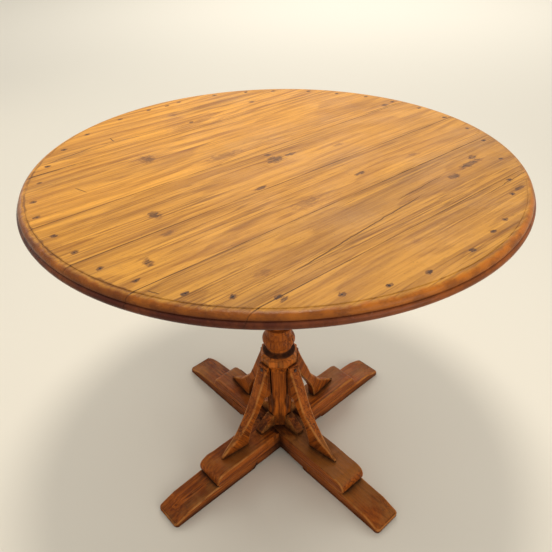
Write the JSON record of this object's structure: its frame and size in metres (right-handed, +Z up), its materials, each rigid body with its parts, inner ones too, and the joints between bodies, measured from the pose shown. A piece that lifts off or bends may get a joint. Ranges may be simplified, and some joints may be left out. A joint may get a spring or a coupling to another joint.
{
  "type": "round pedestal table",
  "caption": "Round wooden table with a nailed plank top on a turned and eight-sided pedestal, braced by curved ribs on a cross-shaped foot.",
  "frame": {"origin": "on the floor, under the middle of the table", "axes": "+Z up; the four arms of the base point half way between the X and Y axes"},
  "size_m": [0.8938, 0.8938, 0.75],
  "materials": {
    "top_wood": "waxed honey-brown planks, worn satin",
    "base_wood": "reddish-brown, waxed satin",
    "frame_wood": "unpolished brown wood, matt",
    "peg_wood": "dark end grain, matt",
    "iron": "aged dark iron"
  },
  "bodies": {
    "root": {"plank_1": "top_wood", "plank_2": "top_wood", "plank_3": "top_wood", "plank_4": "top_wood", "plank_5": "top_wood", "plank_6": "top_wood", "ring_segment_1": "frame_wood", "ring_segment_2": "frame_wood", "ring_segment_3": "frame_wood", "ring_segment_4": "frame_wood", "ring_segment_5": "frame_wood", "ring_segment_6": "frame_wood", "ring_segment_7": "frame_wood", "ring_segment_8": "frame_wood", "batten_left": "frame_wood", "batten_right": "frame_wood", "bearer_under": "frame_wood", "bearer_over": "frame_wood", "head_block": "frame_wood", "head_screw_1": "iron", "head_screw_2": "iron", "head_screw_3": "iron", "head_screw_4": "iron", "column": "base_wood", "tenon_wedge": "peg_wood", "lower_beam_under": "base_wood", "lower_beam_over": "base_wood", "upper_beam_under": "base_wood", "upper_beam_over": "base_wood", "rib_1": "base_wood", "rib_2": "base_wood", "rib_3": "base_wood", "rib_4": "base_wood", "strut_1": "base_wood", "strut_2": "base_wood", "strut_3": "base_wood", "strut_4": "base_wood", "rib_peg_1": "peg_wood", "rib_peg_2": "peg_wood", "rib_peg_3": "peg_wood", "rib_peg_4": "peg_wood", "beam_screw_1": "iron", "beam_screw_2": "iron", "beam_screw_3": "iron", "beam_screw_4": "iron"}
  },
  "joints": []
}
